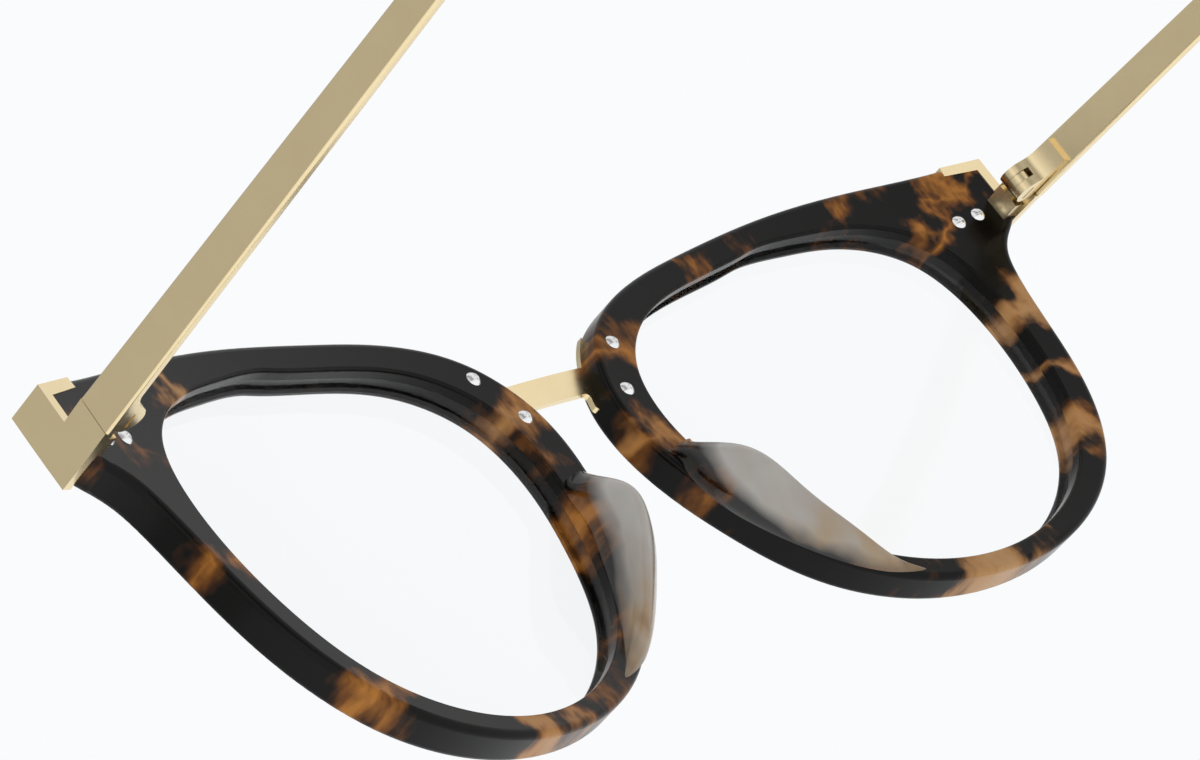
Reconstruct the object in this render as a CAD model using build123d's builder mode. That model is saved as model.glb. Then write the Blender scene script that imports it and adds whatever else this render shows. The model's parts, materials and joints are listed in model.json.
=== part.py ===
"""Full-rim spectacles: two rims on a metal bridge, metal end caps, barrel hinges and bar temples.

Frame: +X towards the wearer's left, +Y from the front towards the ears, +Z up.
The origin is under the middle of the whole, level with the lowest point of the rims.
Lengths are in millimetres. The datum is the top rear outer corner of the end caps:
u is the distance from the middle plane, v the height above the datum, w the distance behind it.
Side pieces are drawn on +X, for the wearer's left, and mirrored for the right.
"""
import os
from math import cos, hypot, radians, sin, sqrt

from build123d import *

os.makedirs("parts", exist_ok=True)

# ---- placing -------------------------------------------------------------------------------------
HALF_WIDTH = 70.0
DATUM_Y = -68.62
DATUM_Z = 43.53

# ---- rims ----------------------------------------------------------------------------------------
BASE_R = 220.5
LOBE_U = 6.0
LOBE_V = 1.5
REAR_W = -9.3
RIM_T = 3.9
RIM_FILLET = 0.6
MOUTH_FILLET = 0.35
GROOVE_DEPTH = 0.6
LENS_T = 2.0
LENS_BACK = 1.3

# Rear-view outline of the lens opening, from the top round the nasal side to the temporal side.
OPENING = [
    (36.0, 0.0), (24.5, -1.35), (16.2, -4.0), (11.3, -8.7), (9.8, -15.2), (11.3, -22.9),
    (15.6, -31.5), (23.3, -37.9), (35.0, -41.1), (46.5, -39.1), (54.7, -33.1),
    (58.9, -24.0), (60.0, -15.1), (57.65, -6.5), (50.9, -1.8), (43.5, -0.3),
]
# Outline of the rim from the brow by the end cap, over the nose and the bottom, to the end cap.
OUTLINE = [
    (65.2, 0.7), (53.0, 2.45), (41.0, 3.2), (28.0, 2.35), (17.4, 0.5), (9.4, -3.65),
    (5.45, -10.15), (5.3, -17.1), (8.75, -26.3), (15.0, -35.45), (24.5, -41.4), (35.0, -43.5),
    (46.5, -42.0), (55.6, -36.7), (61.1, -28.0), (63.5, -18.5), (64.9, -12.6), (68.0, -8.6),
]

# ---- nose pads: level slices from the top down, each given as (u, w) points -------------------------
PAD_RINGS = [
    (-18.2, [(6.2, -9.2), (6.2, -8.4), (7.2, -7.6), (8.8, -7.3), (9.4, -8.0), (9.6, -9.2)]),
    (-21.6, [(7.0, -9.2), (6.3, -6.8), (7.3, -5.2), (9.3, -3.8), (10.1, -4.9), (10.3, -9.2)]),
    (-24.8, [(8.2, -9.0), (6.4, -5.7), (7.8, -3.9), (10.2, -2.1), (10.9, -3.2), (11.2, -9.0)]),
    (-28.5, [(10.2, -8.6), (8.3, -5.5), (9.5, -3.8), (12.4, -2.5), (13.1, -3.6), (13.4, -8.6)]),
    (-32.2, [(12.8, -8.0), (11.4, -5.4), (12.4, -4.1), (15.0, -3.0), (15.7, -4.0), (15.9, -8.0)]),
    (-35.4, [(15.4, -7.5), (14.6, -5.4), (15.5, -4.3), (17.5, -3.5), (18.3, -4.3), (18.6, -7.5)]),
    (-38.4, [(19.0, -7.0), (18.4, -5.6), (19.2, -4.7), (20.9, -4.4), (21.8, -5.0), (22.1, -7.0)]),
    (-40.4, [(22.6, -6.6), (22.7, -5.5), (23.3, -5.1), (24.3, -5.0), (25.0, -5.3), (25.2, -6.6)]),
]

# ---- end caps ------------------------------------------------------------------------------------
CAP_T = 1.1
CAP_H = 7.8
CAP_FLANGE = 5.1
CAP_RISE = 9.5
CAP_PROUD = 0.12
CAP_FRONT_PROUD = 0.4
ARM_TOP_V = -4.05
ARM_LENGTH = 3.6
SPLAY = 3.7

# ---- hinges --------------------------------------------------------------------------------------
HINGE_U = 67.38
HINGE_W = 4.1
KNUCKLE_R = 1.45
STACK_BOTTOM_V = -7.45
STACK_H = 2.95
LEAF_GAP = 0.04
SCREW_R = 0.55
SCREW_CLEARANCE = 0.04
BLOCK_T = 1.4
LEAF_END = 5.4
BLOCK_H = 2.8
BLOCK_REAR_W = 1.87

# ---- temples -------------------------------------------------------------------------------------
BAR_T = 1.1
BAR_FILLET = 0.3
BAR_H = 3.95
BAR_REAR_H = 2.4
BAR_PITCH = 1.42
BAR_LENGTH = 105.0
BUTT_GAP = 0.06
TIP_START = 88.0
TIP_T = 3.4
BEND_R = 26.0
BEND_ANGLE = 32.0
TIP_STRAIGHT = 33.0

# ---- bridge --------------------------------------------------------------------------------------
STRAP_T = 0.7
STRAP_TOP_V = -5.75
STRAP_H = 2.9
STRAP_REAR_W = -11.15
STRAP_BOW_R = 120.0
FLANGE_T = 0.5
FLANGE_FROM = 0.332
FLANGE_TO = 0.389
FLANGE_FILLET = 0.5

# ---- small screws --------------------------------------------------------------------------------
HEAD_R = 0.8
HEAD_H = 0.42
SHANK_R = 0.45
SHANK_L = 3.1
BRIDGE_SCREWS = [(10.55, -5.05), (7.75, -10.4)]
END_SCREWS = [(62.55, -5.65), (65.25, -5.7)]


def at(u, v, w):
    """Datum coordinates to a point of the frame."""
    return Vector(u, w + DATUM_Y, v + DATUM_Z)


def front_plane(w):
    """Plane that looks like the rear-view outline: local x is +X, local y is +Z, normal is -Y."""
    return Plane(origin=at(0, 0, w), x_dir=(1, 0, 0), z_dir=(0, -1, 0))


def level_plane(v):
    """Horizontal plane at height v: local x is +X, local y is +Y."""
    return Plane.XY.offset(DATUM_Z + v)


BALL_CENTRE = at(LOBE_U, LOBE_V, REAR_W + BASE_R)


def ball(depth):
    """Ball whose near side lies depth in front of the rims' rear face."""
    return Location(BALL_CENTRE) * Sphere(BASE_R + depth)


def rear_w(u, v):
    """Distance behind the datum of the rims' rear face."""
    reach = hypot(u - LOBE_U, v - LOBE_V)
    return REAR_W + BASE_R - sqrt(BASE_R ** 2 - reach ** 2)


def rear_plane(u, v):
    """Plane on the rims' rear face, with its normal towards the wearer."""
    point = at(u, v, rear_w(u, v))
    return Plane(origin=point, x_dir=(0, 0, 1), z_dir=BALL_CENTRE - point)


REAR_BALL = ball(0)
RIM_SHELL = ball(RIM_T) - REAR_BALL
CAP_SHELL = ball(RIM_T + CAP_FRONT_PROUD) - ball(-CAP_PROUD)
LENS_SHELL = ball(LENS_BACK + LENS_T) - ball(LENS_BACK)
TONGUE_SHELL = ball(2.5) - ball(1.6)

# ---- outlines, drawn flat: local x is u and local y is v -------------------------------------------
with BuildSketch() as rim_outline:
    with BuildLine():
        edge = Spline(*OUTLINE, tangents=[(-1, 0.12), (1, 0.7)])
        Polyline(edge @ 1, (HALF_WIDTH - CAP_T, -7.9), (HALF_WIDTH - CAP_T, -0.3), edge @ 0)
    make_face()

with BuildSketch() as opening_outline:
    with BuildLine():
        Spline(*OPENING, periodic=True)
    make_face()

with BuildSketch() as groove_outline:
    with BuildLine():
        mouth = opening_outline.sketch_local.face().outer_wire()
        steps = [k / 24 for k in range(24)]
        Spline(*[mouth @ k + (mouth % k).rotate(Axis.Z, -90) * GROOVE_DEPTH for k in steps], periodic=True)
    make_face()
    if groove_outline.sketch_local.area < opening_outline.sketch_local.area:
        raise ValueError("the groove must lie outside the opening")

# ---- small cross-head screws -----------------------------------------------------------------------
with BuildPart() as small_screw:
    with BuildSketch(Plane.XZ):
        with BuildLine():
            Polyline((0, HEAD_H), (0, -SHANK_L), (SHANK_R, -SHANK_L), (SHANK_R, 0), (HEAD_R, 0))
            ThreePointArc((HEAD_R, 0), (0.62 * HEAD_R, 0.66 * HEAD_H), (0, HEAD_H))
        make_face()
    revolve(axis=Axis.Z)
    with BuildSketch(Plane.XY.offset(HEAD_H)):
        Rectangle(0.9, 0.17)
        Rectangle(0.17, 0.9)
    extrude(amount=-0.16, mode=Mode.SUBTRACT)

bridge_screws = [rear_plane(u, v).location * small_screw.part for u, v in BRIDGE_SCREWS]
end_screws = [rear_plane(u, v).location * small_screw.part for u, v in END_SCREWS]

# ---- end cap: an angle over the rim's outer top corner, with an arm back to the temple ------------
with BuildPart() as end_cap_left:
    with BuildSketch(front_plane(-8.0)):
        with BuildLine():
            run = CAP_FLANGE * cos(radians(CAP_RISE))
            rise = CAP_FLANGE * sin(radians(CAP_RISE))
            Polyline(
                (HALF_WIDTH, 0),
                (HALF_WIDTH - run, rise),
                (HALF_WIDTH - run - CAP_T * sin(radians(CAP_RISE)), rise - CAP_T),
                (HALF_WIDTH - CAP_T, -CAP_T),
                (HALF_WIDTH - CAP_T, -CAP_H),
                (HALF_WIDTH, -CAP_H),
                close=True,
            )
        make_face()
    extrude(amount=-12.0)
    add(CAP_SHELL, mode=Mode.INTERSECT)
    with BuildSketch(level_plane(-CAP_H)):
        with BuildLine():
            lean = ARM_LENGTH * sin(radians(SPLAY))
            Polyline(
                (HALF_WIDTH - CAP_T, DATUM_Y - 2.5),
                (HALF_WIDTH, DATUM_Y - 2.5),
                (HALF_WIDTH, DATUM_Y),
                (HALF_WIDTH + lean, DATUM_Y + ARM_LENGTH),
                (HALF_WIDTH + lean - CAP_T, DATUM_Y + ARM_LENGTH),
                (HALF_WIDTH - CAP_T, DATUM_Y),
                close=True,
            )
        make_face()
    extrude(amount=CAP_H + ARM_TOP_V)
end_cap_left.part.label = "end_cap_left"

# ---- front hinge leaf: block, tongue in the rim, and the centre knuckle ---------------------------
LEAF_H = (STACK_H - 2 * LEAF_GAP) / 3
CENTRE_V = STACK_BOTTOM_V + LEAF_H + LEAF_GAP
HINGE_Y = DATUM_Y + HINGE_W
BLOCK_U = HALF_WIDTH - CAP_T - BLOCK_T
NECK_T = 1.1
NECK_REACH = HINGE_W - BLOCK_REAR_W + 0.4

with BuildPart() as front_hinge_left:
    with BuildSketch(front_plane(0)):
        with BuildLine():
            Polyline((61.2, -4.6), (BLOCK_U + 0.2, -4.6), (BLOCK_U + 0.2, -6.9), (61.2, -6.9), close=True)
        make_face()
        fillet(vertices().group_by(Axis.X)[0], radius=1.1)
    extrude(amount=10.0)
    add(TONGUE_SHELL, mode=Mode.INTERSECT)
    with BuildSketch(front_plane(BLOCK_REAR_W)):
        with Locations((BLOCK_U + BLOCK_T / 2, STACK_BOTTOM_V + BLOCK_H / 2)):
            Rectangle(BLOCK_T, BLOCK_H)
    extrude(amount=5.0)
    with BuildSketch(level_plane(CENTRE_V)):
        with Locations((HINGE_U, HINGE_Y)):
            Circle(KNUCKLE_R)
        with Locations((BLOCK_U + NECK_T / 2, HINGE_Y - NECK_REACH / 2)):
            Rectangle(NECK_T, NECK_REACH)
    extrude(amount=LEAF_H)
    with Locations(Plane(at(HINGE_U, CENTRE_V, HINGE_W))):
        Cylinder(SCREW_R + SCREW_CLEARANCE, 3 * STACK_H, mode=Mode.SUBTRACT)
    add(end_screws, mode=Mode.SUBTRACT)
front_hinge_left.part.label = "front_hinge_left"


# ---- bridge: strap with a flange and a buried tongue at each end, cut from a slightly bowed sheet --
BOW_CENTRE = at(0, 0, STRAP_REAR_W - STRAP_BOW_R)
with BuildPart() as bowed_sheet:
    with BuildSketch(level_plane(-20)):
        with Locations((0, BOW_CENTRE.Y)):
            Circle(STRAP_BOW_R)
            Circle(STRAP_BOW_R - STRAP_T, mode=Mode.SUBTRACT)
    extrude(amount=25)

with BuildPart() as bridge:
    with BuildSketch(front_plane(-8)):
        with BuildLine():
            nasal = rim_outline.sketch_local.edges().sort_by(SortBy.LENGTH)[-1]
            reach = [FLANGE_FROM + (FLANGE_TO - FLANGE_FROM) * k / 6 for k in range(7)]
            skin = Spline(*[nasal @ k + (nasal % k).rotate(Axis.Z, -90) * FLANGE_T for k in reach])
            Polyline(skin @ 1, skin @ 1 + (1.2, 0), (8.4, -8.3), skin @ 0 + (0, -1.2), skin @ 0)
        make_face()
        with Locations((3.75, STRAP_TOP_V - STRAP_H / 2)):
            Rectangle(7.5, STRAP_H)
        fillet(vertices().group_by(Axis.X)[1:3], radius=FLANGE_FILLET)
        with BuildLine():
            Polyline(
                (6.2, -10.3), (7.4, -7.3), (9.1, -4.1), (12.3, -4.1), (11.4, -6.6), (9.2, -9.2),
                (9.2, -11.7), (6.4, -11.7), close=True,
            )
        make_face()
    extrude(amount=6)
    add(bowed_sheet.part, mode=Mode.INTERSECT)
    add(bridge_screws, mode=Mode.SUBTRACT)
    mirror(about=Plane.YZ)
bridge.part.label = "bridge"


# ---- lens and nose pad -----------------------------------------------------------------------------
with BuildPart() as lens_left:
    with BuildSketch(front_plane(10)):
        add(groove_outline.sketch_local)
    extrude(amount=40)
    add(LENS_SHELL, mode=Mode.INTERSECT)
lens_left.part.label = "lens_left"

with BuildPart() as nose_pad_left:
    for height, ring in PAD_RINGS:
        with BuildSketch(level_plane(height)):
            with BuildLine():
                Spline(*[(u, DATUM_Y + w) for u, w in ring], periodic=True)
            make_face()
    loft()
    add(REAR_BALL, mode=Mode.INTERSECT)
nose_pad_left.part.label = "nose_pad_left"

# ---- rim: outline cut from a shallow shell, with opening, lens groove and pockets ------------------
with BuildPart() as rim_left:
    with BuildSketch(front_plane(10)):
        add(rim_outline.sketch_local)
        add(opening_outline.sketch_local, mode=Mode.SUBTRACT)
    extrude(amount=40)
    add(RIM_SHELL, mode=Mode.INTERSECT)
    fillet(edges().sort_by(SortBy.LENGTH)[-4:-2], radius=MOUTH_FILLET)
    fillet(edges().sort_by(SortBy.LENGTH)[-2:], radius=RIM_FILLET)
    add(lens_left.part, mode=Mode.SUBTRACT)
    add(end_cap_left.part, mode=Mode.SUBTRACT)
    add(front_hinge_left.part, mode=Mode.SUBTRACT)
    add(bridge.part, mode=Mode.SUBTRACT)
    add(bridge_screws + end_screws, mode=Mode.SUBTRACT)
rim_left.part.label = "rim_left"

# ---- temples: a is the distance behind the butt joint, n the distance in from the outer face -------
BACKWARDS = Vector(sin(radians(SPLAY)), cos(radians(SPLAY)), 0)
INWARDS = Vector(-cos(radians(SPLAY)), sin(radians(SPLAY)), 0)
CENTRE_LINE_V = -5.97
JOINT = at(HALF_WIDTH, 0, 0) + BACKWARDS * (ARM_LENGTH / cos(radians(SPLAY)) + BUTT_GAP)
HINGE_POINT = at(HINGE_U, 0, HINGE_W)
HINGE_A = (HINGE_POINT - JOINT).dot(BACKWARDS)
HINGE_N = (HINGE_POINT - JOINT).dot(INWARDS)


def temple_top(v):
    """Horizontal plane of a temple: local x is a, local y is n."""
    return Plane(origin=JOINT + Vector(0, 0, v), x_dir=BACKWARDS, z_dir=(0, 0, 1))


BAR_CENTRE = JOINT + INWARDS * (BAR_T / 2) + Vector(0, 0, CENTRE_LINE_V)
ALONG = BACKWARDS * cos(radians(BAR_PITCH)) - Vector(0, 0, sin(radians(BAR_PITCH)))
FRONT_SECTION = Plane(origin=BAR_CENTRE, x_dir=INWARDS, z_dir=BACKWARDS)


def temple_section(a):
    """Cross-section plane of a temple: local x is inwards, local y is down."""
    return Plane(origin=BAR_CENTRE + ALONG * a, x_dir=INWARDS, z_dir=ALONG)


def temple_path(start, reach):
    """Line, bend and drop of the temple's centre line, from a = start to reach past the bend."""
    side = Plane(origin=BAR_CENTRE, x_dir=ALONG, z_dir=-INWARDS)
    with BuildLine(side) as path:
        straight = Line((start, 0), (BAR_LENGTH, 0))
        bend = JernArc(straight @ 1, straight % 1, BEND_R, -BEND_ANGLE)
        PolarLine(bend @ 1, reach, direction=bend % 1)
    return path.line


with BuildPart() as temple_bar_left:
    with BuildSketch(FRONT_SECTION):
        RectangleRounded(BAR_T, BAR_H, BAR_FILLET)
    with BuildSketch(temple_section(TIP_START + 3)):
        RectangleRounded(BAR_T, BAR_REAR_H, BAR_FILLET)
    loft()
    with BuildSketch(temple_section(TIP_START + 3)):
        RectangleRounded(BAR_T - 0.35, BAR_REAR_H - 0.8, 0.2)
    sweep(path=temple_path(TIP_START + 3, 0.6 * TIP_STRAIGHT))
temple_bar_left.part.label = "temple_bar_left"

with BuildPart() as temple_tip_left:
    with BuildSketch(temple_section(TIP_START)):
        RectangleRounded(TIP_T, BAR_REAR_H + 1.8, 1.2)
    sweep(path=temple_path(TIP_START, TIP_STRAIGHT))
    fillet(faces().sort_by(Axis.Z)[0].edges(), radius=1.1)
    add(temple_bar_left.part, mode=Mode.SUBTRACT)
temple_tip_left.part.label = "temple_tip_left"

with BuildPart() as temple_hinge_left:
    with BuildSketch(temple_top(STACK_BOTTOM_V)):
        with BuildLine():
            inner = Spline((1.2, 4.05), (1.9, 3.35), (2.5, 2.6), (3.2, 2.2), (4.3, 1.87), (LEAF_END, 1.75))
            Polyline(
                inner @ 1, (LEAF_END, BAR_T), (3.9, BAR_T), (2.2, BAR_T + 0.22),
                (HINGE_A, BAR_T + 0.22), inner @ 0,
            )
        make_face()
        with Locations((HINGE_A, HINGE_N)):
            Circle(KNUCKLE_R)
    extrude(amount=STACK_H)
    with BuildSketch(temple_top(CENTRE_V - LEAF_GAP)):
        with Locations((HINGE_A, HINGE_N)):
            Circle(KNUCKLE_R + 0.45)
    extrude(amount=LEAF_H + 2 * LEAF_GAP, mode=Mode.SUBTRACT)
    with BuildSketch(temple_top(STACK_BOTTOM_V)):
        with Locations((HINGE_A, HINGE_N)):
            Circle(SCREW_R)
    extrude(amount=STACK_H, mode=Mode.SUBTRACT)
    with BuildSketch(temple_top(STACK_BOTTOM_V)):
        with Locations((HINGE_A, HINGE_N)):
            Circle(0.9)
    extrude(amount=0.4, mode=Mode.SUBTRACT)
temple_hinge_left.part.label = "temple_hinge_left"

with BuildPart() as hinge_screw_left:
    with BuildSketch(temple_top(STACK_BOTTOM_V)):
        with Locations((HINGE_A, HINGE_N)):
            Circle(SCREW_R)
    extrude(amount=STACK_H)
    with BuildSketch(temple_top(STACK_BOTTOM_V)):
        with Locations((HINGE_A, HINGE_N)):
            Circle(0.9)
    extrude(amount=0.4)
    with BuildSketch(temple_top(STACK_BOTTOM_V)):
        with Locations((HINGE_A, HINGE_N)):
            Rectangle(2.0, 0.24)
    extrude(amount=0.18, mode=Mode.SUBTRACT)
hinge_screw_left.part.label = "hinge_screw_left"

# ---- write the pieces, each left one with its mirror image ------------------------------------------
LEFT_PIECES = {
    "rim_left": rim_left.part,
    "lens_left": lens_left.part,
    "nose_pad_left": nose_pad_left.part,
    "end_cap_left": end_cap_left.part,
    "front_hinge_left": front_hinge_left.part,
    "temple_hinge_left": temple_hinge_left.part,
    "hinge_screw_left": hinge_screw_left.part,
    "temple_bar_left": temple_bar_left.part,
    "temple_tip_left": temple_tip_left.part,
    "bridge_screw_left_upper": bridge_screws[0],
    "bridge_screw_left_lower": bridge_screws[1],
    "end_screw_left_inner": end_screws[0],
    "end_screw_left_outer": end_screws[1],
}

bridge.part.label = "bridge"
export_step(bridge.part, "parts/bridge.step")
for name, piece in LEFT_PIECES.items():
    piece.label = name
    export_step(piece, f"parts/{name}.step")
    twin_name = name.replace("left", "right")
    with BuildPart() as twin:
        mirror(piece, about=Plane.YZ)
    twin.part.label = twin_name
    export_step(twin.part, f"parts/{twin_name}.step")
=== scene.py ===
"""Looks for the spectacles: camera, studio, materials and the detailed pieces."""
import json
import math

import bpy
from mathutils import Matrix, Vector


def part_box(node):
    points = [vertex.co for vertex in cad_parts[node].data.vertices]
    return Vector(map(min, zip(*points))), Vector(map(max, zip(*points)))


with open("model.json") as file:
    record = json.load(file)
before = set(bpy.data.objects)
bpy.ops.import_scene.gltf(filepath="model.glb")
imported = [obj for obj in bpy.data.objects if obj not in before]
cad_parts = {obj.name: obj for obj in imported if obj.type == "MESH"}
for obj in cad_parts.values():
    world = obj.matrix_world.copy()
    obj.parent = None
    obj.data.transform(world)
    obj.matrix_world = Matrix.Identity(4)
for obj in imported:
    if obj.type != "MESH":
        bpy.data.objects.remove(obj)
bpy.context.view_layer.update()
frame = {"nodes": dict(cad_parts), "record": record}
nodes = frame["nodes"]

SIDES = ("left", "right")  # the wearer's

scene = bpy.context.scene
scene.view_settings.view_transform = "Standard"
scene.view_settings.look = "None"


# ---- camera --------------------------------------------------------------------------------------
# The photograph's viewing angle, in degrees: round the object from +X, above it, and about the view.
VIEW_AZIMUTH = 36.93
VIEW_ELEVATION = -16.61
VIEW_ROLL = -36.25
# Metres from the point aimed at, and the lens in millimetres on a 36 mm sensor.
VIEW_DISTANCE = 0.4118
VIEW_LENS = 133.5
SENSOR_WIDTH = 36.0
# The point aimed at: metres to the wearer's left of the middle, and below the top of the rims.
AIM_LEFT = 0.0069
AIM_DROP = 0.0164


def make_camera():
    """A camera that looks at the rims' rear, a little to the wearer's left of the middle."""
    data = bpy.data.cameras.new("camera")
    data.sensor_width = SENSOR_WIDTH
    data.lens = VIEW_LENS
    data.clip_start = 0.01
    data.clip_end = 20.0
    camera = bpy.data.objects.new("camera", data)
    scene.collection.objects.link(camera)
    rim_high = Vector(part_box("rim_left")[1])
    aim = Vector((AIM_LEFT, rim_high.y, rim_high.z - AIM_DROP))
    round_up = math.radians(90 + VIEW_AZIMUTH)
    tilt = math.radians(90 - VIEW_ELEVATION)
    turn = (
        Matrix.Rotation(round_up, 4, "Z")
        @ Matrix.Rotation(tilt, 4, "X")
        @ Matrix.Rotation(math.radians(VIEW_ROLL), 4, "Z")
    )
    camera.matrix_world = Matrix.Translation(aim) @ turn @ Matrix.Translation((0, 0, VIEW_DISTANCE))
    scene.camera = camera


make_camera()


# ---- node helpers ----------------------------------------------------------------------------------
def new_material(name):
    """A material with its node tree and its Principled shader."""
    material = bpy.data.materials.new(name)
    material.use_nodes = True
    tree = material.node_tree
    shader = tree.nodes["Principled BSDF"]
    return material, tree, shader


def node(tree, kind, **values):
    """A node whose inputs or settings have the values given."""
    made = tree.nodes.new(kind)
    for key, value in values.items():
        if key in made.inputs:
            made.inputs[key].default_value = value
        else:
            setattr(made, key, value)
    return made


def maths(tree, operation, *terms, clamp=False):
    """A sum on numbers or sockets."""
    made = tree.nodes.new("ShaderNodeMath")
    made.operation = operation
    made.use_clamp = clamp
    for socket, term in zip(made.inputs, terms):
        if isinstance(term, (int, float)):
            socket.default_value = term
        else:
            tree.links.new(term, socket)
    return made.outputs[0]


def vector_maths(tree, operation, *terms):
    """A sum on triples or vector sockets."""
    made = tree.nodes.new("ShaderNodeVectorMath")
    made.operation = operation
    for socket, term in zip(made.inputs, terms):
        if isinstance(term, tuple):
            socket.default_value = term
        else:
            tree.links.new(term, socket)
    return made.outputs[0]


def axes(tree, vector):
    """The X, Y and Z of a vector, each as its own socket."""
    split = tree.nodes.new("ShaderNodeSeparateXYZ")
    tree.links.new(vector, split.inputs[0])
    return split.outputs


def noise(tree, vector, scale, detail=3.0, roughness=0.5):
    """Noise in -0.5..0.5 around nought, over a position in millimetres."""
    texture = node(tree, "ShaderNodeTexNoise", Scale=scale, Detail=detail, Roughness=roughness)
    tree.links.new(vector, texture.inputs["Vector"])
    return maths(tree, "SUBTRACT", texture.outputs["Fac"], 0.5)


def millimetres(tree):
    """Position on the piece, in the object's frame, in millimetres."""
    place = tree.nodes.new("ShaderNodeTexCoord")
    return vector_maths(tree, "MULTIPLY", place.outputs["Object"], (1000.0, 1000.0, 1000.0))


def ramp(tree, value, *stops):
    """Colours blended by a value, from stops of place and colour."""
    made = tree.nodes.new("ShaderNodeValToRGB")
    made.color_ramp.elements[0].position = stops[0][0]
    made.color_ramp.elements[0].color = (*stops[0][1], 1)
    made.color_ramp.elements[1].position = stops[-1][0]
    made.color_ramp.elements[1].color = (*stops[-1][1], 1)
    for place, colour in stops[1:-1]:
        made.color_ramp.elements.new(place).color = (*colour, 1)
    tree.links.new(value, made.inputs["Fac"])
    return made.outputs["Color"]


def mix_colour(tree, amount, first, second):
    """The first colour, turning into the second as the amount goes from 0 to 1."""
    made = tree.nodes.new("ShaderNodeMix")
    made.data_type = "RGBA"
    made.clamp_factor = True
    tree.links.new(amount, made.inputs["Factor"])
    for socket, colour in ((made.inputs["A"], first), (made.inputs["B"], second)):
        if isinstance(colour, tuple):
            socket.default_value = (*colour, 1)
        else:
            tree.links.new(colour, socket)
    return made.outputs["Result"]


def roughness(tree, shader, middle, spread, vector, scale):
    """Roughness that wanders round a middle value."""
    value = maths(tree, "MULTIPLY_ADD", noise(tree, vector, scale), 2 * spread, middle)
    tree.links.new(value, shader.inputs["Roughness"])


def bump(tree, shader, height, depth):
    """Bump from a height in -0.5..0.5, depth metres high."""
    made = node(tree, "ShaderNodeBump", Strength=1.0, Distance=depth)
    tree.links.new(height, made.inputs["Height"])
    tree.links.new(made.outputs["Normal"], shader.inputs["Normal"])


# ---- metals ----------------------------------------------------------------------------------------
GOLD_TONES = {"base": (0.93, 0.765, 0.465), "worn": (0.90, 0.735, 0.44)}
SILVER_TONES = {"base": (0.88, 0.88, 0.88), "worn": (0.80, 0.80, 0.80)}
METAL_RIPPLE = 0.0000012  # metres
TONE_DRIFT = 0.25  # noise scale, per millimetre, of the slow change of tone


def metal(name, tones, middle, spread, grain):
    """Plated metal: fine grain in its gloss, slow change of tone, tiny surface ripple."""
    material, tree, shader = new_material(name)
    place = millimetres(tree)
    tone = maths(tree, "ADD", noise(tree, place, TONE_DRIFT, detail=4.0), 0.5)
    colour = ramp(tree, tone, (0.3, tones["worn"]), (0.7, tones["base"]))
    tree.links.new(colour, shader.inputs["Base Color"])
    shader.inputs["Metallic"].default_value = 1.0
    roughness(tree, shader, middle, spread, place, grain)
    bump(tree, shader, noise(tree, place, grain * 2, detail=2.0), METAL_RIPPLE)
    return material


# ---- tortoise acetate ------------------------------------------------------------------------------
DARK = (0.0032, 0.0029, 0.0026)
UMBER = (0.028, 0.011, 0.004)
AMBER = (0.15, 0.053, 0.009)
ORANGE = (0.38, 0.15, 0.026)
HONEY = (0.43, 0.25, 0.112)

SHEET_SQUASH = (1.0, 0.35, 1.0)  # the pattern changes slowly through the sheet's thickness
GRAIN_STRETCH = (1.0, 0.6, 0.3)  # streaks are longest where this is least, which is up and down
GRAIN_TURN = 30  # degrees: turns the noise behind the streaks, and so chooses the pattern
STREAK_WEIGHT = 1.3  # how much streaks, clouds and fine fibres each fray the patches' edges
CLOUD_WEIGHT = 0.9
FIBRE_WEIGHT = 0.22
HONEY_STREAK = 0.7  # how much streaks fray the honey within a patch
PATCH_DRIFT = 1.1  # hours from end to end: how far noise pulls the patches about
PATCH_HEART = 1.25  # a patch's height at its middle, in units of its strength
HONEY_GAIN, HONEY_START = 1.6, -0.45  # how steeply honey shows, and how late
WARM_GAIN, WARM_START = 2.4, -0.75  # the same for warmth, without which no honey shows
ACETATE_SPECULAR = 0.14
ACETATE_RIPPLE = 0.000004  # metres

# Warm patches round each rim, as judged: the clock hour at which one lies, 12 at the brow and 3 at
# the temple, its reach in hours, its strength, and how much of it is honey.
PATCHES = {
    "left": [
        (1.0, 0.25, 0.85, 0.7), (1.8, 0.25, 0.5, 0), (3.0, 0.28, 0.65, 0.1), (4.6, 0.28, 0.75, 0),
        (5.9, 0.3, 0.95, 0.5), (6.6, 0.35, 0.45, 0.1), (7.4, 0.35, 0.5, 0.3), (8.6, 0.4, 0.9, 0.3),
        (9.8, 0.38, 0.75, 0.5),
    ],
    "right": [
        (0.0, 0.22, 0.45, 0.3), (0.9, 0.22, 0.45, 0.2), (1.6, 0.2, 0.8, 0), (2.7, 0.3, 0.85, 0.7),
        (3.6, 0.22, 0.8, 0.6), (4.4, 0.35, 0.8, 0.6), (6.3, 0.6, 0.95, 0.75), (8.6, 0.18, 0.5, 0),
        (9.3, 0.32, 0.8, 0.45), (10.2, 0.45, 0.7, 0), (11.3, 0.22, 0.45, 0),
    ],
}


def clock_hour(tree, place, side):
    """Hours round the middle of a rim, from its box: 0 at the brow, 3 at the temple."""
    low, high = (Vector(c) * 1000 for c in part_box(f"rim_{side}"))
    middle, half = (low + high) / 2, (high - low) / 2
    outwards = 1 if side == "left" else -1
    centred = vector_maths(tree, "SUBTRACT", place, tuple(middle))
    scaled = vector_maths(tree, "MULTIPLY", centred, (outwards / half.x, 1.0, 1 / half.z))
    across = axes(tree, scaled)
    turn = maths(tree, "ARCTAN2", across["X"], across["Z"])
    return maths(tree, "MULTIPLY", turn, 6 / math.pi)


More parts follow.
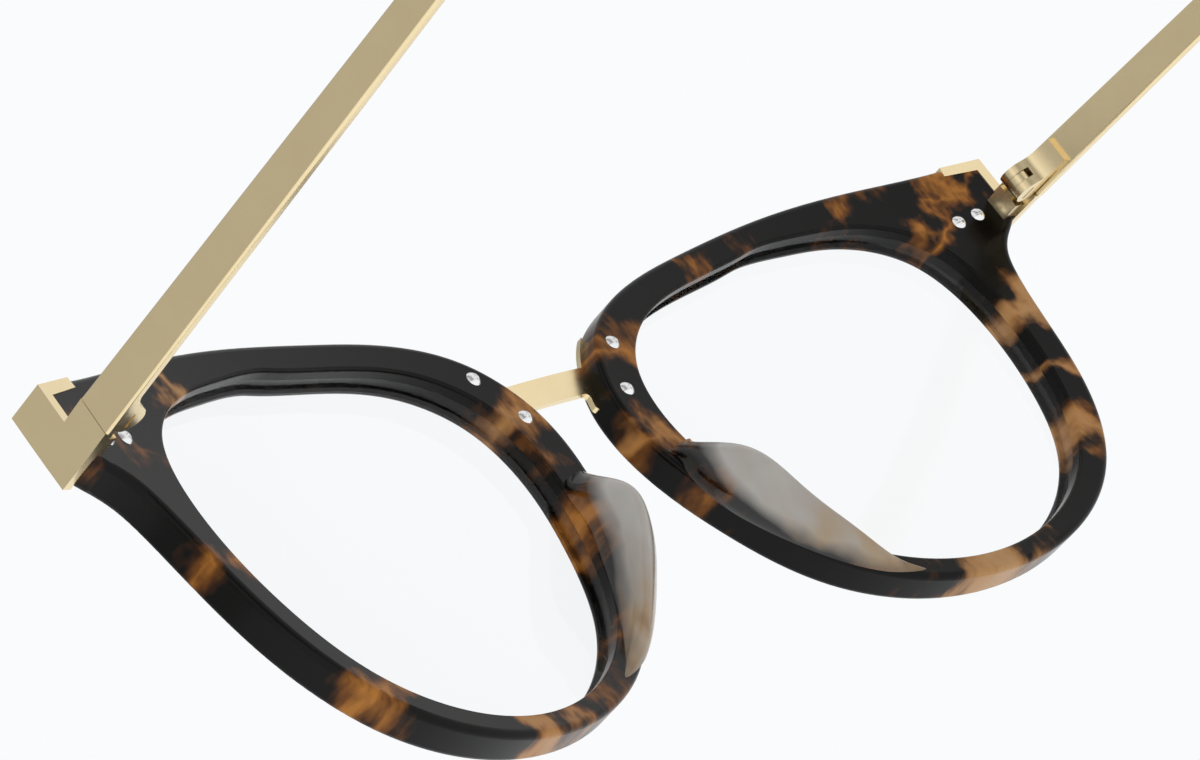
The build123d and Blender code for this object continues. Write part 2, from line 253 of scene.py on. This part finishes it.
def patches(tree, place, flat, side):
    """How warm the sheet is round a rim, and how much of that is honey."""
    drift = maths(tree, "MULTIPLY", noise(tree, flat, scale=0.2), PATCH_DRIFT)
    hour = maths(tree, "ADD", clock_hour(tree, place, side), drift)
    warm, honey = 0.0, 0.0
    for middle, reach, strength, pale in PATCHES[side]:
        apart = maths(tree, "WRAP", maths(tree, "SUBTRACT", hour, middle), 6.0, -6.0)
        apart = maths(tree, "ABSOLUTE", apart)
        near = maths(tree, "MULTIPLY_ADD", apart, -strength / reach, PATCH_HEART * strength)
        warm = maths(tree, "MAXIMUM", near, warm)
        honey = maths(tree, "MAXIMUM", maths(tree, "MULTIPLY", near, pale), honey)
    return warm, honey


def tortoise_colour(tree, place, side=None):
    """Dark sheet with warm patches whose edges feather out along the grain of the sheet."""
    flat = vector_maths(tree, "MULTIPLY", place, SHEET_SQUASH)
    grain = node(tree, "ShaderNodeMapping")
    grain.inputs["Rotation"].default_value = (0.0, math.radians(GRAIN_TURN), 0.0)
    grain.inputs["Scale"].default_value = GRAIN_STRETCH
    tree.links.new(flat, grain.inputs["Vector"])
    streak = noise(tree, grain.outputs[0], scale=0.6)
    fibre = noise(tree, grain.outputs[0], scale=3.2, roughness=0.6)
    cloud = noise(tree, flat, scale=0.28, roughness=0.55)
    if side:
        warm, honey = patches(tree, place, flat, side)
    else:
        warm = maths(tree, "MULTIPLY_ADD", noise(tree, flat, scale=0.12, detail=2.0), 4.0, 0.1)
        honey = maths(tree, "MULTIPLY_ADD", noise(tree, flat, scale=0.2, detail=2.0), 3.0, 0.1)
    clouded = maths(tree, "MULTIPLY", cloud, CLOUD_WEIGHT)
    ragged = maths(tree, "MULTIPLY_ADD", streak, STREAK_WEIGHT, clouded)
    ragged = maths(tree, "MULTIPLY_ADD", fibre, FIBRE_WEIGHT, ragged)
    warm = maths(tree, "ADD", warm, ragged)
    honey = maths(tree, "MULTIPLY_ADD", streak, HONEY_STREAK, honey)
    dark = ramp(tree, warm, (0.30, DARK), (0.45, UMBER), (0.70, AMBER), (1.0, ORANGE))
    pale = maths(tree, "MULTIPLY_ADD", honey, HONEY_GAIN, HONEY_START, clamp=True)
    lit = maths(tree, "MULTIPLY_ADD", warm, WARM_GAIN, WARM_START, clamp=True)
    return mix_colour(tree, maths(tree, "MULTIPLY", pale, lit), dark, HONEY)


def tortoise(name, side=None):
    """Polished tortoise acetate: a rim's own pattern for a side, or a free one for the tips."""
    material, tree, shader = new_material(name)
    place = millimetres(tree)
    tree.links.new(tortoise_colour(tree, place, side), shader.inputs["Base Color"])
    shader.inputs["Specular IOR Level"].default_value = ACETATE_SPECULAR
    roughness(tree, shader, 0.17, 0.05, place, scale=0.9)
    bump(tree, shader, noise(tree, place, scale=0.5, detail=2.0), ACETATE_RIPPLE)
    return material


# ---- nose pads and lenses --------------------------------------------------------------------------
PAD_ROOT = 0.36  # share of the pad's depth at which the rim's pattern gives way to the pad's own
PAD_BLEND = 0.6  # how fast it does, per millimetre
PAD_GRAIN = (0.75, 0.75, 0.16)  # streaks run up and down the pad
PAD_MARBLING = 0.6  # how much the streaks shift the pad's own colours along it
PAD_FRAYING = 1.2  # how much they fray the line where the rim's pattern gives way
PAD_SPECULAR = 0.5
PAD_MILKINESS = 0.25
PAD_SCATTER = 0.002  # metres
PAD_PALE = (0.47, 0.46, 0.44)
PAD_GREY = (0.36, 0.335, 0.30)
PAD_TAN = (0.34, 0.25, 0.155)
PAD_BROWN = (0.20, 0.12, 0.055)


def pad(side):
    """Milky greyish acetate, streaked along the pad, that grows out of the pattern of the rim."""
    material, tree, shader = new_material(f"pad_acetate_{side}")
    place = millimetres(tree)
    low, high = (Vector(c) * 1000 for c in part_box(f"nose_pad_{side}"))
    height = high.z - low.z
    along = axes(tree, place)
    long_grain = vector_maths(tree, "MULTIPLY", place, PAD_GRAIN)
    streak = noise(tree, long_grain, scale=0.55, detail=1.5, roughness=0.4)
    down = maths(tree, "MULTIPLY_ADD", along["Z"], -1 / height, high.z / height)
    tone = maths(tree, "MULTIPLY_ADD", streak, PAD_MARBLING, down)
    milky = ramp(tree, tone, (0.0, PAD_PALE), (0.55, PAD_GREY), (0.85, PAD_TAN), (1.0, PAD_BROWN))
    root = low.y + PAD_ROOT * (high.y - low.y)
    rise = maths(tree, "MULTIPLY_ADD", along["Y"], PAD_BLEND, -PAD_BLEND * root)
    rise = maths(tree, "MULTIPLY_ADD", streak, PAD_FRAYING, rise, clamp=True)
    body = mix_colour(tree, rise, tortoise_colour(tree, place, side), milky)
    tree.links.new(body, shader.inputs["Base Color"])
    shader.inputs["Specular IOR Level"].default_value = PAD_SPECULAR
    roughness(tree, shader, 0.10, 0.03, place, scale=0.8)
    shader.inputs["Subsurface Weight"].default_value = PAD_MILKINESS
    shader.inputs["Subsurface Scale"].default_value = PAD_SCATTER
    bump(tree, shader, noise(tree, place, scale=0.4, detail=2.0), ACETATE_RIPPLE)
    return material


LENS_TINT = (0.992, 0.995, 0.996)
LENS_PURE = (0.998, 0.999, 0.999)
LENS_ROUGHNESS = 0.04
LENS_ROUGHNESS_SPREAD = 0.02
LENS_MIRROR = 0.02  # how much the lens mirrors straight on
LENS_GRAZING = 0.8  # what is added to that at grazing view
LENS_LATENESS = 5.0  # the power that keeps it away until then


def lens_clear():
    """Clear lens: what is behind it, under a reflection that grows towards grazing view."""
    material, tree, shader = new_material("lens_clear")
    tree.nodes.remove(shader)
    place = millimetres(tree)
    through = tree.nodes.new("ShaderNodeBsdfTransparent")
    tone = maths(tree, "ADD", noise(tree, place, scale=0.05, detail=1.0), 0.5)
    tint = ramp(tree, tone, (0.3, LENS_TINT), (0.7, LENS_PURE))
    tree.links.new(tint, through.inputs["Color"])
    gloss = tree.nodes.new("ShaderNodeBsdfAnisotropic")
    wander = noise(tree, place, scale=0.2)
    polish = maths(tree, "MULTIPLY_ADD", wander, LENS_ROUGHNESS_SPREAD, LENS_ROUGHNESS)
    tree.links.new(polish, gloss.inputs["Roughness"])
    facing = node(tree, "ShaderNodeLayerWeight", Blend=0.5)
    grazing = maths(tree, "POWER", facing.outputs["Facing"], LENS_LATENESS)
    amount = maths(tree, "MULTIPLY_ADD", grazing, LENS_GRAZING, LENS_MIRROR, clamp=True)
    mix = tree.nodes.new("ShaderNodeMixShader")
    tree.links.new(amount, mix.inputs["Fac"])
    tree.links.new(through.outputs[0], mix.inputs[1])
    tree.links.new(gloss.outputs[0], mix.inputs[2])
    tree.links.new(mix.outputs[0], tree.nodes["Material Output"].inputs["Surface"])
    return material


# ---- each piece gets its material ------------------------------------------------------------------
GOLD = metal("gold_satin", GOLD_TONES, middle=0.24, spread=0.05, grain=3.0)
SILVER = metal("silver_polished", SILVER_TONES, middle=0.14, spread=0.04, grain=4.0)
LENS = lens_clear()
TIP = tortoise("tortoise_tip")
RIMS = {side: tortoise(f"tortoise_rim_{side}", side) for side in SIDES}
PADS = {side: pad(side) for side in SIDES}
PLAIN_LOOKS = {"gold_metal": GOLD, "silver_screw": SILVER, "clear_lens": LENS}


def look(name, slot):
    """The material of a piece, by its slot, its side, and whether it is a temple's tip."""
    side = "left" if "left" in name else "right"
    if slot == "tortoise_acetate":
        return TIP if "tip" in name else RIMS[side]
    if slot == "pad_acetate":
        return PADS[side]
    return PLAIN_LOOKS[slot]


for part in frame["record"]["subparts"]:
    mesh = nodes[part["node"]].data
    mesh.materials.clear()
    mesh.materials.append(look(part["node"], part["material_slot"]))


# ---- worked edges on the metal pieces --------------------------------------------------------------
# Width of each piece's broken edges, in metres.
EDGES = {"end_cap": 0.00010, "front_hinge": 0.00006, "temple_hinge": 0.00007}
BRIDGE_EDGE = 0.00008
LEAST_TURN = 38  # degrees: edges whose faces turn by less than this are left as they are


def break_edges(name, width):
    """A narrow two-step bevel on a piece's sharp edges."""
    bevel = nodes[name].modifiers.new("broken_edges", "BEVEL")
    bevel.width = width
    bevel.segments = 2
    bevel.limit_method = "ANGLE"
    bevel.angle_limit = math.radians(LEAST_TURN)


for side in SIDES:
    for piece, width in EDGES.items():
        break_edges(f"{piece}_{side}", width)
break_edges("bridge", BRIDGE_EDGE)


# ---- lenses: drawn a hair smaller than the grooves that hold them ------------------------------------
LENS_EASE = 0.00012  # metres

for side in SIDES:
    ease = nodes[f"lens_{side}"].modifiers.new("ease", "DISPLACE")
    ease.strength = -LENS_EASE
    ease.mid_level = 0.0


# ---- studio ----------------------------------------------------------------------------------------
BACKDROP = (0.955, 0.965, 0.975)
SOFT_STRENGTH = 0.45
# Share of a turn round the studio, and how bright it is there.
STUDIO_BANDS = [
    (0.0, 0.7), (0.08, 0.9), (0.16, 0.35), (0.26, 0.5), (0.5, 0.5), (0.6, 1.0), (0.7, 0.3),
    (0.8, 0.9), (0.887, 0.98), (0.897, 0.68), (0.907, 1.0), (0.96, 0.95), (1.0, 0.7),
]


def make_world():
    """White studio: bright behind, even for soft light, and in soft bands for what polish mirrors."""
    world = bpy.data.worlds.new("studio")
    scene.world = world
    world.use_nodes = True
    tree = world.node_tree
    seen = node(tree, "ShaderNodeBackground", Color=(*BACKDROP, 1), Strength=1.0)
    soft = node(tree, "ShaderNodeBackground", Color=(1, 1, 1, 1), Strength=SOFT_STRENGTH)
    mirrored = node(tree, "ShaderNodeBackground", Strength=1.0)
    way = axes(tree, tree.nodes.new("ShaderNodeTexCoord").outputs["Generated"])
    turn = maths(tree, "ARCTAN2", way["Y"], way["X"])
    turn = maths(tree, "MULTIPLY_ADD", turn, 0.5 / math.pi, 0.5)
    bands = ramp(tree, turn, *((place, (level,) * 3) for place, level in STUDIO_BANDS))
    tree.links.new(bands, mirrored.inputs["Color"])
    path = tree.nodes.new("ShaderNodeLightPath")
    glossy = tree.nodes.new("ShaderNodeMixShader")
    tree.links.new(path.outputs["Is Glossy Ray"], glossy.inputs["Fac"])
    tree.links.new(soft.outputs[0], glossy.inputs[1])
    tree.links.new(mirrored.outputs[0], glossy.inputs[2])
    shown = tree.nodes.new("ShaderNodeMixShader")
    tree.links.new(path.outputs["Is Camera Ray"], shown.inputs["Fac"])
    tree.links.new(glossy.outputs[0], shown.inputs[1])
    tree.links.new(seen.outputs[0], shown.inputs[2])
    tree.links.new(shown.outputs[0], tree.nodes["World Output"].inputs["Surface"])


def area_light(name, place, target, size, power):
    """A soft panel that lights the object, but is not itself seen or mirrored."""
    data = bpy.data.lights.new(name, "AREA")
    data.shape = "RECTANGLE"
    data.size, data.size_y = size
    data.energy = power
    light = bpy.data.objects.new(name, data)
    light.location = place
    light.rotation_euler = (Vector(target) - Vector(place)).to_track_quat("-Z", "Y").to_euler()
    scene.collection.objects.link(light)
    light.visible_camera = False
    light.visible_glossy = False


# Each panel's name, place, the point that it faces, its width and height, all in metres, and its watts.
PANELS = [
    ("left_panel", (1.3, 0.5, 0.45), (0, 0, 0.02), (1.1, 1.3), 4.6),
    ("right_panel", (-0.95, 0.85, 0.5), (0, 0, 0.02), (0.9, 1.1), 1.5),
    ("top_panel", (0.1, 0.1, 1.2), (0, 0, 0), (1.2, 0.9), 3.6),
]
FLOOR_REACH = 3  # metres each way from the middle
FLOOR_HEIGHT = -0.32  # metres: low, so that the camera can look up from below the object
FLOOR_COLOUR = (0.93, 0.94, 0.95)
FLOOR_GLOW = (0.95, 0.965, 0.975)
FLOOR_GLOW_STRENGTH = 0.42
FLOOR_ROUGHNESS = 0.6


def make_floor():
    """A plain pale floor whose glow brings it close to the backdrop."""
    corners = [(-1, -1), (1, -1), (1, 1), (-1, 1)]
    points = [(x * FLOOR_REACH, y * FLOOR_REACH, FLOOR_HEIGHT) for x, y in corners]
    mesh = bpy.data.meshes.new("floor")
    mesh.from_pydata(points, [], [(0, 1, 2, 3)])
    floor = bpy.data.objects.new("floor", mesh)
    scene.collection.objects.link(floor)
    material, _, shader = new_material("floor_pale")
    shader.inputs["Base Color"].default_value = (*FLOOR_COLOUR, 1)
    shader.inputs["Emission Color"].default_value = (*FLOOR_GLOW, 1)
    shader.inputs["Emission Strength"].default_value = FLOOR_GLOW_STRENGTH
    shader.inputs["Roughness"].default_value = FLOOR_ROUGHNESS
    mesh.materials.append(material)


make_world()
for panel in PANELS:
    area_light(*panel)
make_floor()
